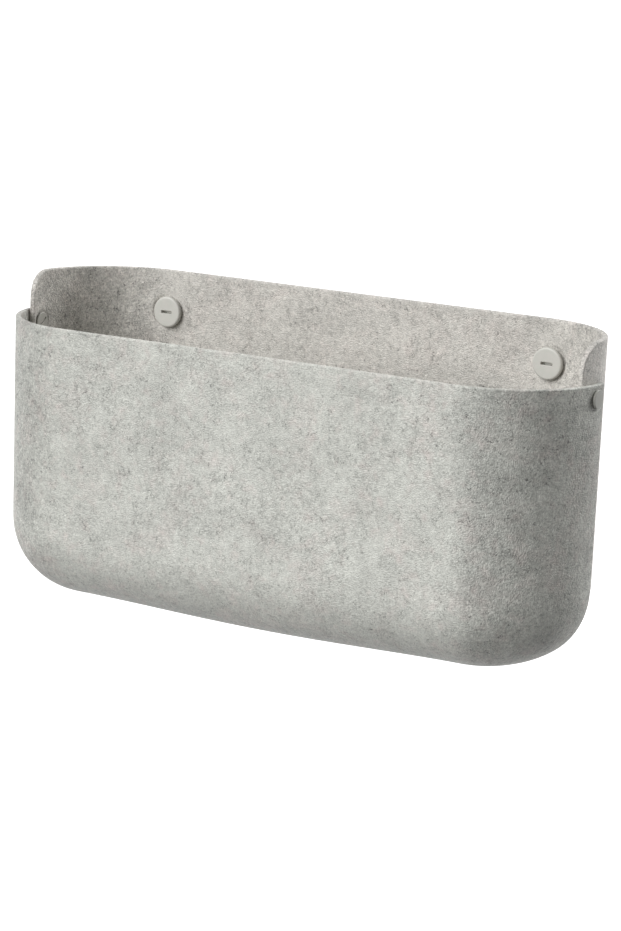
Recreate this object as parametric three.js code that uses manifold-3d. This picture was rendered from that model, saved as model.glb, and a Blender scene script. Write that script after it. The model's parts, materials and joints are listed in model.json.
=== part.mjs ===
// Wall storage basket: two dishes of pressed felt, one nested in the other, hung on two wall
// sockets. The back dish (back_panel) has a flat back and wraps forward into short side wings;
// the front dish (front_shell) laps over the outside of the wings and is riveted to them.
// Each hanging knob passes through the back panel and locks by a quarter turn in a socket that
// is screwed to the wall.
//
// Frame, in millimetres: the origin is on the wall, midway between the two wall screws.
// +Z is up, -Y points out of the wall to the user and +X is to the user's right.
import * as THREE from 'three';
import { LoftGeometry } from 'three/addons/geometries/LoftGeometry.js';
import { mergeVertices } from 'three/addons/utils/BufferGeometryUtils.js';
import Module from 'manifold-3d';

// Felt
const feltThickness = 4.2;
const nestGap = 0.3;
const panelWidth = 482;
const panelHeight = 241;
const basketDepth = 156;
const rimHeight = 211.5;
const rimBow = 1.8;
const wingReach = 93;
const wingCornerRadius = 21.5;
const wingOverlap = 24;
const endBendRadius = 78;
const frontBottomBend = 50;
const sideBottomBend = 59;
const backBottomBend = 50;
const wallLean = THREE.MathUtils.degToRad(0.6);

// Side rivets: a plain headed post outside, a slotted screw inside
const rivetBelowRim = 10.5;
const rivetFromWingEdge = 12;
const rivetHeadRadius = 7;
const rivetPostHead = 2.5;
const rivetScrewHead = 1.8;
const rivetEdgeRadius = 0.6;
const rivetBarrelRadius = 3.2;
const rivetShankRadius = 1.9;
const rivetBite = 0.6;
const rivetSlotLength = 10;
const rivetSlotWidth = 1.8;
const rivetSlotDepth = 0.9;
const leftSlotTilt = THREE.MathUtils.degToRad(33);
const rightSlotTilt = THREE.MathUtils.degToRad(-20);

// Hanging knobs
const knobBelowTop = 33;
const knobFromSide = 73;
const knobRadius = 11.5;
const knobThickness = 4.2;
const knobEdgeRadius = 1.3;
const knobStemRadius = 5.4;
const knobSlotLength = 10.4;
const knobSlotWidth = 2.1;
const knobSlotDepth = 2.6;

// Wall sockets
const flangeRadius = 15;
const flangeThickness = 2;
const socketFloor = 3.4;
const barrelWall = 1.8;
const barrelStandout = 2.1;
const grooveDepth = 0.9;
const lugHeight = 1.7;
const lugHalfAngle = THREE.MathUtils.degToRad(22);
const turnAngle = THREE.MathUtils.degToRad(90);
const stopSlack = THREE.MathUtils.degToRad(3);

// Wall screws
const screwShankRadius = 2;
const screwHeadRadius = 3.9;
const screwHeadHeight = 2.1;
const screwLength = 30;
const screwPointLength = 4;
const recessSpan = 4;
const recessWidth = 0.9;
const recessDepth = 1.4;

// Clearances
const runningGap = 0.3;
const holeGap = 0.3;
const screwHoleGap = 0.2;

// Facets
const bendSteps = 14;
const frontRunSteps = 8;
const bottomSteps = 9;
const roundSteps = 32;
const edgeSteps = 4;
const weldDistance = 1e-4;

// Derived sizes of the felt. Offsets are counted outward from the back panel's outer face,
// which is the surface that the two dishes share.
const shellInside = nestGap;
const shellOutside = nestGap + feltThickness;
const panelInside = -feltThickness;
const endBend = Math.min(endBendRadius, basketDepth / 2);
const shellRear = wingReach - wingOverlap;
const rivetReach = wingReach - rivetFromWingEdge;
const rivetHeight = rimHeight - rivetBelowRim;
const knobX = panelWidth / 2 - knobFromSide;
const knobHeight = panelHeight - knobBelowTop;

// Derived depths of the hanging parts, counted out from the wall
const panelBack = flangeThickness;
const panelFront = panelBack + feltThickness;
const knobBack = panelFront + runningGap;
const knobFace = knobBack + knobThickness;
const barrelInside = knobStemRadius + runningGap;
const barrelOutside = barrelInside + barrelWall;
const barrelEnd = panelFront + barrelStandout;
const stemEnd = socketFloor + runningGap;
const lugBack = stemEnd + runningGap;
const lugFront = lugBack + lugHeight;
const grooveBack = socketFloor + runningGap;
const grooveFront = lugFront + runningGap;
const lugRadius = barrelInside + grooveDepth - runningGap;

const wasm = await Module();
wasm.setup();

// A closed geometry as a solid, ready for joining and cutting.
function solidOf(geometry) {
  const shape = new THREE.BufferGeometry();
  shape.setAttribute('position', geometry.attributes.position);
  shape.setIndex(geometry.index);
  const merged = mergeVertices(shape, weldDistance);
  const index = merged.index.array;
  const triVerts = [];
  for (let i = 0; i < index.length; i += 3) {
    const [a, b, c] = index.slice(i, i + 3);
    if (a !== b && b !== c && c !== a) triVerts.push(a, b, c);
  }
  return new wasm.Manifold(new wasm.Mesh({
    numProp: 3,
    vertProperties: new Float32Array(merged.attributes.position.array),
    triVerts: new Uint32Array(triVerts),
  }));
}

function geometryOf(solid) {
  const mesh = solid.getMesh();
  const geometry = new THREE.BufferGeometry();
  geometry.setAttribute('position', new THREE.BufferAttribute(mesh.vertProperties, 3));
  geometry.setIndex(new THREE.BufferAttribute(mesh.triVerts, 1));
  geometry.computeVertexNormals();
  return geometry;
}

// Round part about the Y axis. The profile lists [radius, distance out of the wall] from the
// wall side round to the user's side, and starts and ends on the axis or where it began.
function turned(profile) {
  const points = profile.map(([radius, out]) => new THREE.Vector2(radius, -out)).reverse();
  return solidOf(new THREE.LatheGeometry(points, roundSteps));
}

// Flat outline drawn as seen by the user, given thickness between two distances from the wall.
function plate(shape, from, to) {
  const geometry = new THREE.ExtrudeGeometry(shape, {
    depth: to - from,
    bevelEnabled: false,
    curveSegments: roundSteps / 4,
  });
  return solidOf(geometry.rotateX(Math.PI / 2).translate(0, -from, 0));
}

function ringSector(inner, outer, middle, halfAngle) {
  const shape = new THREE.Shape();
  shape.absarc(0, 0, outer, middle - halfAngle, middle + halfAngle, false);
  shape.absarc(0, 0, inner, middle + halfAngle, middle - halfAngle, true);
  return shape;
}

function slotShape(length, width, tilt = 0) {
  const shape = new THREE.Shape();
  const reach = (length - width) / 2;
  const side = tilt + Math.PI / 2;
  const dx = reach * Math.cos(tilt);
  const dy = reach * Math.sin(tilt);
  shape.absarc(dx, dy, width / 2, side - Math.PI, side, false);
  shape.absarc(-dx, -dy, width / 2, side, side + Math.PI, false);
  return shape;
}

function block(size, centre) {
  return solidOf(new THREE.BoxGeometry(...size).translate(...centre));
}

// Upright corner bends of the plan, counterclockwise from the front right one. Each is an arc
// about its own centre; the straight runs join one arc's end to the next arc's start.
function planCorners() {
  const frontRadius = endBend - shellOutside;
  const frontX = panelWidth / 2 - frontRadius;
  const backX = panelWidth / 2 - endBend;
  const frontY = -(basketDepth - endBend);
  return [
    { x: frontX, y: frontY, radius: frontRadius, start: -Math.PI / 2 },
    { x: backX, y: -endBend, radius: endBend, start: 0 },
    { x: -backX, y: -endBend, radius: endBend, start: Math.PI / 2 },
    { x: -frontX, y: frontY, radius: frontRadius, start: Math.PI },
  ];
}

// Bend radius between wall and bottom, on the shared surface, for a wall that faces (nx, ny).
function bottomBend(nx, ny) {
  const toSide = sideBottomBend - shellOutside;
  const toFace = ny < 0 ? frontBottomBend - shellOutside : backBottomBend;
  return nx * nx * toSide + ny * ny * toFace;
}

// How far the wall leans inward at height z. The back stays flat for the wall.
function leanAt(z, nx, ny) {
  const share = ny > 0 ? nx * nx : 1;
  return Math.tan(wallLean) * (rimHeight - z) * share;
}

// The long front is drawn in at mid-length, most at its free rim, and not at all where it
// meets the corner bends or the bottom. x runs from -1 to 1 between the corner bends.
function frontBow(x, z) {
  return rimBow * (1 - x * x) ** 2 * (z / rimHeight);
}

// One level line round the dish. place tells how far out and how high a wall's point lies.
function planRing(place) {
  const corners = planCorners();
  const points = corners.flatMap((corner) => {
    const bend = [];
    for (let i = 0; i <= bendSteps; i += 1) {
      const angle = corner.start + (i / bendSteps) * (Math.PI / 2);
      const nx = Math.cos(angle);
      const ny = Math.sin(angle);
      const { out, z } = place(nx, ny);
      const reach = corner.radius + out - leanAt(z, nx, ny);
      bend.push(new THREE.Vector3(corner.x + reach * nx, corner.y + reach * ny, z));
    }
    return bend;
  });
  const { out, z } = place(0, -1);
  const [corner] = corners;
  const reach = corner.radius + out - leanAt(z, 0, -1);
  for (let i = 1; i < frontRunSteps; i += 1) {
    const x = -1 + (2 * i) / frontRunSteps;
    points.push(new THREE.Vector3(corner.x * x, corner.y - reach + frontBow(x, z), z));
  }
  return points;
}

// Closed dish, offset outward from the shared surface, filled up to the given height.
function dish(offset, top) {
  const sections = [];
  for (let i = 0; i <= bottomSteps; i += 1) {
    const down = (1 - i / bottomSteps) * (Math.PI / 2);
    sections.push(planRing((nx, ny) => {
      const bend = bottomBend(nx, ny);
      return {
        out: (bend + offset) * Math.cos(down) - bend,
        z: shellOutside + bend - (bend + offset) * Math.sin(down),
      };
    }));
  }
  sections.push(planRing(() => ({ out: offset, z: top })));
  return solidOf(new LoftGeometry(sections, { capStart: true, capEnd: true }));
}

// Side view of the back dish: everything behind the wings' front edge, with its round corner.
function wingOutline() {
  const span = panelWidth;
  const shape = new THREE.Shape();
  const cornerZ = panelHeight - wingCornerRadius;
  const cornerY = -wingReach + wingCornerRadius;
  shape.moveTo(span, -span);
  shape.lineTo(span, panelHeight);
  shape.lineTo(cornerY, panelHeight);
  shape.absarc(cornerY, cornerZ, wingCornerRadius, Math.PI / 2, Math.PI, false);
  shape.lineTo(-wingReach, -span);
  return shape;
}

// The side view, drawn in (y, z), runs the full width of the basket along X.
function acrossBasket(shape) {
  const width = panelWidth * 2;
  const geometry = new THREE.ExtrudeGeometry(shape, {
    depth: width,
    bevelEnabled: false,
    curveSegments: bendSteps,
  });
  geometry.rotateX(Math.PI / 2).rotateZ(Math.PI / 2);
  return solidOf(geometry.translate(-width / 2, 0, 0));
}

// Round cut along X at the rivet, from one distance off the basket's middle to another.
function rivetCut(side, radius, from, to) {
  const geometry = new THREE.CylinderGeometry(radius, radius, to - from, roundSteps);
  geometry.rotateZ(Math.PI / 2);
  geometry.translate(side * (from + to) / 2, -rivetReach, rivetHeight);
  return solidOf(geometry);
}

const wallOutside = panelWidth / 2 + shellOutside;
const wallInside = panelWidth / 2 + panelInside;
const postSeat = wallOutside - rivetBite;
const screwSeat = wallInside + rivetBite;

function backPanel() {
  let felt = dish(0, panelHeight);
  felt = felt.subtract(dish(panelInside, panelHeight + feltThickness));
  felt = felt.intersect(acrossBasket(wingOutline()));
  for (const side of [-1, 1]) {
    const at = (solid) => solid.translate([side * knobX, panelBack, knobHeight]);
    const disc = (radius) => new THREE.Shape().absarc(0, 0, radius, 0, Math.PI * 2, false);
    felt = felt.subtract(at(plate(disc(barrelOutside + holeGap), 0, knobFace)));
    felt = felt.subtract(at(plate(disc(knobRadius + holeGap), panelFront, knobFace)));
    felt = felt.subtract(rivetCut(side, rivetBarrelRadius + holeGap, wallInside, wallOutside));
    felt = felt.subtract(
      rivetCut(side, rivetHeadRadius + holeGap, wallInside - feltThickness, screwSeat),
    );
  }
  return felt;
}

function frontShell() {
  let felt = dish(shellOutside, rimHeight);
  felt = felt.subtract(dish(shellInside, rimHeight + feltThickness));
  const depth = basketDepth * 2;
  felt = felt.intersect(
    block([panelWidth * 2, depth, panelHeight * 3], [0, -shellRear - depth / 2, 0]),
  );
  for (const side of [-1, 1]) {
    felt = felt.subtract(rivetCut(side, rivetBarrelRadius + holeGap, wallInside, wallOutside));
    felt = felt.subtract(
      rivetCut(side, rivetHeadRadius + holeGap, postSeat, wallOutside + feltThickness),
    );
  }
  return felt;
}

// Quarter round on the rim of a head, from its side wall to its face.
function roundedEdge(radius, face, edge) {
  const points = [];
  for (let i = 0; i <= edgeSteps; i += 1) {
    const angle = (i / edgeSteps) * (Math.PI / 2);
    const reach = radius - edge + edge * Math.cos(angle);
    points.push([reach, face - edge + edge * Math.sin(angle)]);
  }
  return points;
}

// Knob: a flat round cap on a stem with two locking lugs, and a coin slot in its face.
function knob() {
  const cavityEnd = barrelEnd + runningGap;
  let body = turned([
    [0, stemEnd],
    [knobStemRadius, stemEnd],
    [knobStemRadius, cavityEnd],
    [barrelOutside + runningGap, cavityEnd],
    [barrelOutside + runningGap, knobBack],
    [knobRadius, knobBack],
    ...roundedEdge(knobRadius, knobFace, knobEdgeRadius),
    [0, knobFace],
  ]);
  const rooted = knobStemRadius - runningGap;
  for (const middle of [0, Math.PI]) {
    body = body.add(plate(ringSector(rooted, lugRadius, middle, lugHalfAngle), lugBack, lugFront));
  }
  const slot = slotShape(knobSlotLength, knobSlotWidth);
  return body.subtract(plate(slot, knobFace - knobSlotDepth, knobFace + knobThickness));
}

// Socket: a flange on the wall with a barrel that holds the knob's lugs behind a lip.
function wallSocket() {
  const hole = screwShankRadius + screwHoleGap;
  const sunk = screwHeadRadius + screwHoleGap;
  let body = turned([
    [hole, 0],
    [flangeRadius, 0],
    [flangeRadius, flangeThickness],
    [barrelOutside, flangeThickness],
    [barrelOutside, barrelEnd],
    [barrelInside, barrelEnd],
    [barrelInside, socketFloor],
    [sunk, socketFloor],
    [hole, socketFloor - screwHeadHeight],
    [hole, 0],
  ]);
  const grooveRadius = barrelInside + grooveDepth;
  const sweep = turnAngle / 2 + lugHalfAngle + stopSlack;
  for (const start of [0, Math.PI]) {
    const groove = ringSector(barrelInside - runningGap, grooveRadius, start + turnAngle / 2, sweep);
    body = body.subtract(plate(groove, grooveBack, grooveFront));
    const entry = start + turnAngle;
    const mouth = ringSector(barrelInside - runningGap, grooveRadius, entry, lugHalfAngle + stopSlack);
    body = body.subtract(plate(mouth, grooveBack, barrelEnd + runningGap));
  }
  return body;
}

function wallScrew() {
  const headFace = socketFloor - screwHoleGap;
  const shankStart = headFace - screwHeadHeight;
  const tip = headFace - screwLength;
  const body = turned([
    [0, tip],
    [screwShankRadius, tip + screwPointLength],
    [screwShankRadius, shankStart],
    [screwHeadRadius, headFace],
    [0, headFace],
  ]);
  const recess = [0, Math.PI / 2].map((tilt) => plate(
    slotShape(recessSpan, recessWidth, tilt),
    headFace - recessDepth,
    headFace + recessDepth,
  ));
  return body.subtract(recess[0]).subtract(recess[1]);
}

// Rivet post: plain flat head with a hollow barrel, drawn with its head's back at zero.
function rivetPost() {
  const barrel = postSeat - screwSeat - runningGap;
  const bore = rivetShankRadius + screwHoleGap;
  return turned([
    [bore, -barrel],
    [rivetBarrelRadius, -barrel],
    [rivetBarrelRadius, 0],
    [rivetHeadRadius, 0],
    ...roundedEdge(rivetHeadRadius, rivetPostHead, rivetEdgeRadius),
    [0, rivetPostHead],
    [0, -runningGap],
    [bore, -runningGap],
    [bore, -barrel],
  ]);
}

// Rivet screw: slotted flat head with a shank that runs into the post's barrel.
function rivetScrew(slotTilt) {
  const shank = postSeat - screwSeat - rivetPostHead;
  const body = turned([
    [0, -shank],
    [rivetShankRadius, -shank],
    [rivetShankRadius, 0],
    [rivetHeadRadius, 0],
    ...roundedEdge(rivetHeadRadius, rivetScrewHead, rivetEdgeRadius),
    [0, rivetScrewHead],
  ]);
  const slot = slotShape(rivetSlotLength, rivetSlotWidth, slotTilt);
  return body.subtract(plate(slot, rivetScrewHead - rivetSlotDepth, rivetScrewHead * 2));
}

const felt = { color: 0xc6c5bf, roughness: 0.98, metalness: 0 };
const plastic = { color: 0xc9c8c1, roughness: 0.42, metalness: 0 };
const steel = { color: 0xb4b6b8, roughness: 0.35, metalness: 0.9 };

function piece(name, solid, finish) {
  const mesh = new THREE.Mesh(geometryOf(solid), new THREE.MeshStandardMaterial(finish));
  mesh.name = name;
  return mesh;
}

const part = new THREE.Group();

// The felt and its rivets are drawn from the panel's back face and the basket's underside.
const basket = new THREE.Group();
basket.position.set(0, -panelBack, -knobHeight);
basket.add(piece('back_panel', backPanel(), felt));
basket.add(piece('front_shell', frontShell(), felt));
part.add(basket);

const sides = [
  { name: 'left', sign: -1, slotTilt: leftSlotTilt },
  { name: 'right', sign: 1, slotTilt: rightSlotTilt },
];
for (const { name, sign, slotTilt } of sides) {
  const hanger = new THREE.Group();
  hanger.position.set(sign * knobX, 0, 0);
  hanger.add(piece(`${name}_wall_socket`, wallSocket(), plastic));
  hanger.add(piece(`${name}_wall_screw`, wallScrew(), steel));
  hanger.add(piece(`${name}_knob`, knob(), plastic));
  part.add(hanger);

  const post = piece(`${name}_rivet_post`, rivetPost(), plastic);
  post.position.set(sign * postSeat, -rivetReach, rivetHeight);
  post.rotation.z = sign * Math.PI / 2;
  const screw = piece(`${name}_rivet_screw`, rivetScrew(slotTilt), plastic);
  screw.position.set(sign * screwSeat, -rivetReach, rivetHeight);
  screw.rotation.z = -sign * Math.PI / 2;
  basket.add(post, screw);
}

export default part;
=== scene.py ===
# %% [markdown]
# A felt wall basket, dressed for its picture.
#
# The object is a shallow basket pressed from grey polyester felt. A back panel with two
# curved wings hangs on two round knobs, and a front shell is riveted to the wings. The
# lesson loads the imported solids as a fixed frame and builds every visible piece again
# with finer surfaces, in metres, in the frame's own place. Heights are measured from
# the knobs' axes and depths from the wall, which is the plane where y is 0.

# %% Load the frame
import json
import math

import bmesh
import bpy
import numpy as np
from mathutils import Matrix, Vector

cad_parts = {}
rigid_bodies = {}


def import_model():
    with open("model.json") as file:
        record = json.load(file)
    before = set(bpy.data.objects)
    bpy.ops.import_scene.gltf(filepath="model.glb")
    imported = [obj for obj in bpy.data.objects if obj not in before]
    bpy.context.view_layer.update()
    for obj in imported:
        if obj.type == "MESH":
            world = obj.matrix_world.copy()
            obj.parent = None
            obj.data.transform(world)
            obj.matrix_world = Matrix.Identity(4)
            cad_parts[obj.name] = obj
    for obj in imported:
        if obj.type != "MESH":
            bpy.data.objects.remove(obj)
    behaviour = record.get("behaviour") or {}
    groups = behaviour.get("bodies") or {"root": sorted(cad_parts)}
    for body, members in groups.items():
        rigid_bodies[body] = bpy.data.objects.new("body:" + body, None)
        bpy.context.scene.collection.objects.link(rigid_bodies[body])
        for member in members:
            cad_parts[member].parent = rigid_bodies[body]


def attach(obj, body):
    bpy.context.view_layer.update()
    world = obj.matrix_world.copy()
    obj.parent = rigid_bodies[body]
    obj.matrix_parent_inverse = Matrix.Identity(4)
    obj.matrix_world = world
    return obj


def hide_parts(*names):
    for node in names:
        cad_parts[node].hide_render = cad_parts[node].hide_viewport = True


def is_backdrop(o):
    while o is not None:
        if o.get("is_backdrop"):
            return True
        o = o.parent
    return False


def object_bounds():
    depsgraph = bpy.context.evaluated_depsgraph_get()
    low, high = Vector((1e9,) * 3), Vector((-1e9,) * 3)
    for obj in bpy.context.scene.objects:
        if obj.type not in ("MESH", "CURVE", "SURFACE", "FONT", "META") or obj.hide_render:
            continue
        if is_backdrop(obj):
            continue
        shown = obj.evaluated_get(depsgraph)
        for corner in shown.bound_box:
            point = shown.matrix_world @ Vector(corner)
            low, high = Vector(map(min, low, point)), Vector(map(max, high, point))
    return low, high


for leftover in list(bpy.data.objects):
    bpy.data.objects.remove(leftover)
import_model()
cad_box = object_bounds()
print("solid box, mm:", [[round(v * 1000, 1) for v in corner] for corner in cad_box])

# %% [markdown]
# The camera. The picture was taken with a long lens from the right of the basket and
# a little above it, so upright edges stay almost upright and the far side is hardly
# smaller than the near one. Three turns and a distance say where the camera stands:
# the turn about the upright, the tilt down, the small roll of the hand, and how far it
# is from the point that it looks at. The matrix is written out from those, so each can
# be changed by itself. The Standard view shows a colour on the screen as it is written.

# %% Camera
# The place and the distance are in metres, the turns in radians, the lens in millimetres.
LOOK_AT = Vector((-0.007165, -0.050, -0.094925))
CAMERA_DISTANCE = 2.508706
CAMERA_TURN = 0.536271
CAMERA_TILT = 0.198609
CAMERA_ROLL = 0.041697
CAMERA_LENS, SENSOR_WIDTH = 127.883, 36

forward = Vector((
    -math.sin(CAMERA_TURN) * math.cos(CAMERA_TILT),
    math.cos(CAMERA_TURN) * math.cos(CAMERA_TILT),
    -math.sin(CAMERA_TILT),
))
level = Vector((math.cos(CAMERA_TURN), math.sin(CAMERA_TURN), 0))
upright = level.cross(forward)
right = level * math.cos(CAMERA_ROLL) + upright * math.sin(CAMERA_ROLL)
up = upright * math.cos(CAMERA_ROLL) - level * math.sin(CAMERA_ROLL)

lens = bpy.data.cameras.new("camera")
lens.lens = CAMERA_LENS
lens.sensor_width = SENSOR_WIDTH
lens.clip_end = 200
camera = bpy.data.objects.new("camera", lens)
bpy.context.scene.collection.objects.link(camera)
camera.matrix_world = Matrix.Translation(LOOK_AT - forward * CAMERA_DISTANCE) @ Matrix((
    right, up, -forward)).transposed().to_4x4()
bpy.context.scene.camera = camera
bpy.context.scene.view_settings.view_transform = "Standard"
print("camera at", [round(v, 3) for v in camera.matrix_world.translation])

# %% [markdown]
# Colours and nodes. Hex colours are written for the screen, and a renderer counts in
# light, so one function turns the first into the second. A second one adds a node: it
# takes the node's settings by name and its sockets as a table, where a value is set and
# an output is linked. A node in the table stands for its first output.

# %% Colour and node helpers
def linear(hex_colour):
    """The colour in linear light: each channel c becomes ((c + 0.055) / 1.055) ** 2.4."""
    channels = [int(hex_colour[i:i + 2], 16) / 255 for i in (0, 2, 4)]
    light = [c / 12.92 if c <= 0.04045 else ((c + 0.055) / 1.055) ** 2.4 for c in channels]
    return light + [1]


def add_node(tree, kind, sockets=None, **settings):
    """Adds a node, gives it its settings, and sets or links each socket in the table."""
    node = tree.nodes.new(kind)
    for setting, value in settings.items():
        setattr(node, setting, value)
    for socket, value in (sockets or {}).items():
        if isinstance(value, bpy.types.Node):
            value = value.outputs[0]
        if isinstance(value, bpy.types.NodeSocket):
            tree.links.new(value, node.inputs[socket])
        else:
            node.inputs[socket].default_value = value
    return node


def empty_material(name):
    """A new material with no nodes in it, and its node tree."""
    material = bpy.data.materials.new(name)
    material.use_nodes = True
    material.node_tree.nodes.clear()
    return material, material.node_tree


# %% [markdown]
# Light and surroundings. The basket was lit in a white studio: a broad soft light a
# little left of straight in front, a second one further left and higher that gives the
# shadows their direction, one from behind the right side that lifts that side out of the
# dark, and what the white floor throws back from below. Suns stand for the softboxes,
# with the wide angle of a softbox, so that the light is the same all over the basket.
# The floor lies as far below as a basket hangs above it. Both floor and world look white
# to the camera and in reflections, and count as much less when they light the felt.

# %% Floor
# How far below the frame's origin the floor lies and how far it reaches, in metres, then
# how much it glows where it is seen and how much light it throws back on the felt.
FLOOR_HEIGHT, FLOOR_REACH = -1.62, 60
FLOOR_GLOW, FLOOR_BOUNCE = 0.4, 0.16
WHITE = (1, 1, 1, 1)


def looks_white(tree):
    """1 for a ray from the camera, a gloss or a glass, 0 for one that carries light: the
    largest of three answers of the Light Path node."""
    ray = add_node(tree, "ShaderNodeLightPath")
    seen = ray.outputs["Is Camera Ray"]
    for kind in ("Is Glossy Ray", "Is Transmission Ray"):
        seen = add_node(
            tree, "ShaderNodeMath", {0: seen, 1: ray.outputs[kind]}, operation="MAXIMUM")
    return seen


floor_corners = np.array([[-1, -1], [1, -1], [1, 1], [-1, 1]]) * FLOOR_REACH
floor_mesh = bpy.data.meshes.new("floor")
floor_mesh.from_pydata([(x, y, FLOOR_HEIGHT) for x, y in floor_corners], [], [(0, 1, 2, 3)])
floor = bpy.data.objects.new("floor", floor_mesh)
bpy.context.scene.collection.objects.link(floor)
floor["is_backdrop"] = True

paint, tree = empty_material("white_studio_floor")
bounce = add_node(tree, "ShaderNodeBsdfDiffuse", {"Color": [FLOOR_BOUNCE] * 3 + [1]})
lit = add_node(tree, "ShaderNodeBsdfDiffuse", {"Color": WHITE})
glow = add_node(tree, "ShaderNodeEmission", {"Color": WHITE, "Strength": FLOOR_GLOW})
white = add_node(tree, "ShaderNodeAddShader", {0: lit, 1: glow})
sides = add_node(tree, "ShaderNodeMixShader", {0: looks_white(tree), 1: bounce, 2: white})
add_node(tree, "ShaderNodeOutputMaterial", {"Surface": sides})
floor_mesh.materials.append(paint)
print("floor at", FLOOR_HEIGHT, "m")

# %% World
WORLD_FILL = 0.05

world = bpy.data.worlds.new("studio")
bpy.context.scene.world = world
world.use_nodes = True
world.node_tree.nodes.clear()
tree = world.node_tree
fill = add_node(tree, "ShaderNodeBackground", {"Color": WHITE, "Strength": WORLD_FILL})
shown = add_node(tree, "ShaderNodeBackground", {"Color": WHITE, "Strength": 1.0})
mixed = add_node(tree, "ShaderNodeMixShader", {0: looks_white(tree), 1: fill, 2: shown})
add_node(tree, "ShaderNodeOutputWorld", {"Surface": mixed})
print("world fill:", WORLD_FILL)


# %% Lamps
def softbox(name, azimuth, elevation, level, width):
    """A sun from azimuth degrees right of the front and elevation degrees up, that alone
    would show a surface facing it at `level` of its own colour; width is in degrees.
    A new sun shines straight down, so 90 less the elevation is its tilt."""
    light = bpy.data.lights.new(name, "SUN")
    light.energy = math.pi * level
    light.angle = math.radians(width)
    lamp = bpy.data.objects.new(name, light)
    lamp.rotation_euler = math.radians(90 - elevation), 0, math.radians(azimuth)
    bpy.context.scene.collection.objects.link(lamp)


softbox("key_light", -38, 50, 0.37, 44)
softbox("front_light", -18, 24, 0.66, 44)
softbox("side_light", 144, 34, 0.73, 36)
print("lamps:", [light.name for light in bpy.data.lights])

# %% [markdown]
# Grids. Every piece of this object is one surface with two parameters, so one helper
# makes a mesh from rows and columns of points. Where a row is a single point, as at the
# middle of a knob's face, or where the grid closes on itself, the doubles are merged,
# and the faces are turned to point outwards after that.

# %% Mesh helpers
# Points nearer to each other than this, in metres, are one.
SAME_POINT = 0.00001


def grid_mesh(name, points, around=False, through=False):
    """Four neighbours of the grid make a face. `around` joins the last column to the
    first, `through` the last row to the first. Points are in millimetres."""
    rows, columns = points.shape[:2]
    index = np.arange(rows * columns).reshape(rows, columns)
    if around:
        index = np.concatenate([index, index[:, :1]], axis=1)
    if through:
        index = np.concatenate([index, index[:1]], axis=0)
    faces = np.stack([index[:-1, :-1], index[:-1, 1:], index[1:, 1:], index[1:, :-1]], axis=-1)
    faces = faces.reshape(-1, 4).astype(np.int32)
    mesh = bpy.data.meshes.new(name)
    mesh.vertices.add(rows * columns)
    mesh.vertices.foreach_set("co", (points.reshape(-1) / 1000).astype(np.float32))
    mesh.loops.add(faces.size)
    mesh.loops.foreach_set("vertex_index", faces.ravel())
    mesh.polygons.add(len(faces))
    mesh.polygons.foreach_set("loop_start", np.arange(0, faces.size, 4, dtype=np.int32))
    mesh.update(calc_edges=True)
    return mesh


def merge_doubles(mesh, outwards=True):
    """Joins points that lie together, and turns the faces outwards."""
    work = bmesh.new()
    work.from_mesh(mesh)
    bmesh.ops.remove_doubles(work, verts=work.verts, dist=SAME_POINT)
    bmesh.ops.dissolve_degenerate(work, edges=work.edges, dist=SAME_POINT / 10)
    if outwards:
        bmesh.ops.recalc_face_normals(work, faces=work.faces)
    work.to_mesh(mesh)
    work.free()


def new_piece(name, mesh):
    """Puts the mesh in the scene as an object at the origin."""
    piece = bpy.data.objects.new(name, mesh)
    bpy.context.scene.collection.objects.link(piece)
    return piece


def keep_modifiers(piece):
    """Replaces the piece's mesh by what its modifiers make of it."""
    evaluated = piece.evaluated_get(bpy.context.evaluated_depsgraph_get())
    finished = bpy.data.meshes.new_from_object(evaluated)
    piece.modifiers.clear()
    piece.data = finished


def smooth(piece, crease_degrees):
    """Shades the piece smooth, with a hard line where it turns by more than the crease."""
    piece.data.shade_smooth()
    piece.data.set_sharp_from_angle(angle=math.radians(crease_degrees))


def ease(x):
    """0 up to 0, 1 from 1 on, and a smooth rise between: 3x² - 2x³."""
    x = np.clip(x, 0, 1)
    return x * x * (3 - 2 * x)


# %% [markdown]
# The felt dishes. Back panel and front shell are pressed over the same mould: a plan
# like a running track, walls that lean out a little, and a bottom that turns into them
# with a wide bend. The shell is half of the dish, the panel the other half just inside
# it, and the two overlap at the sides and under the bottom. One formula gives both:
#
# - a column of the grid is a direction of the plan, with the arc centre it belongs to;
# - a row is a place on the section: down the wall, round the bend, along the bottom;
# - a point is the arc centre plus the column's direction times its reach, where reach is
#   the arc's radius, plus what the section goes out or in, less the lean.
#
# Felt has one thickness, so the grid is the middle of the sheet, and the Solidify
# modifier gives it its 4.2 mm and Bevel the slightly rounded cut edges.

# %% Sizes of the felt, in millimetres
# The sheet, the gap between the two dishes, and where the panel's back is.
FELT_THICKNESS, EDGE_ROUNDING = 4.2, 1.0
NEST_GAP, PANEL_BACK = 0.3, -2.0
# The plan: how deep the middle plane lies, and the round ends' centres and radii.
MIDDLE_DEPTH = 78.0
BACK_ARC_X, BACK_ARC_RADIUS = 163.0, 78.0
FRONT_ARC_X, FRONT_ARC_RADIUS = 167.5, 73.5
# The section: heights over the underside (the mould lies inside the shell), then its
# bends into the walls, and their lean.
KNOB_HEIGHT, RIM_HEIGHT, PANEL_HEIGHT = 208.0, 211.5, 241.0
MOULD_BOTTOM = NEST_GAP + FELT_THICKNESS
SIDE_BEND, FRONT_BEND, BACK_BEND = 59.0 - MOULD_BOTTOM, 50.0 - MOULD_BOTTOM, 50.0
WALL_LEAN = math.radians(0.6)
# What use has done: the bow of the rim, the belly of the front, the sag of the bottom.
RIM_BOW, BELLY, BOTTOM_SAG = 1.8, 3.0, 2.4
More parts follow.
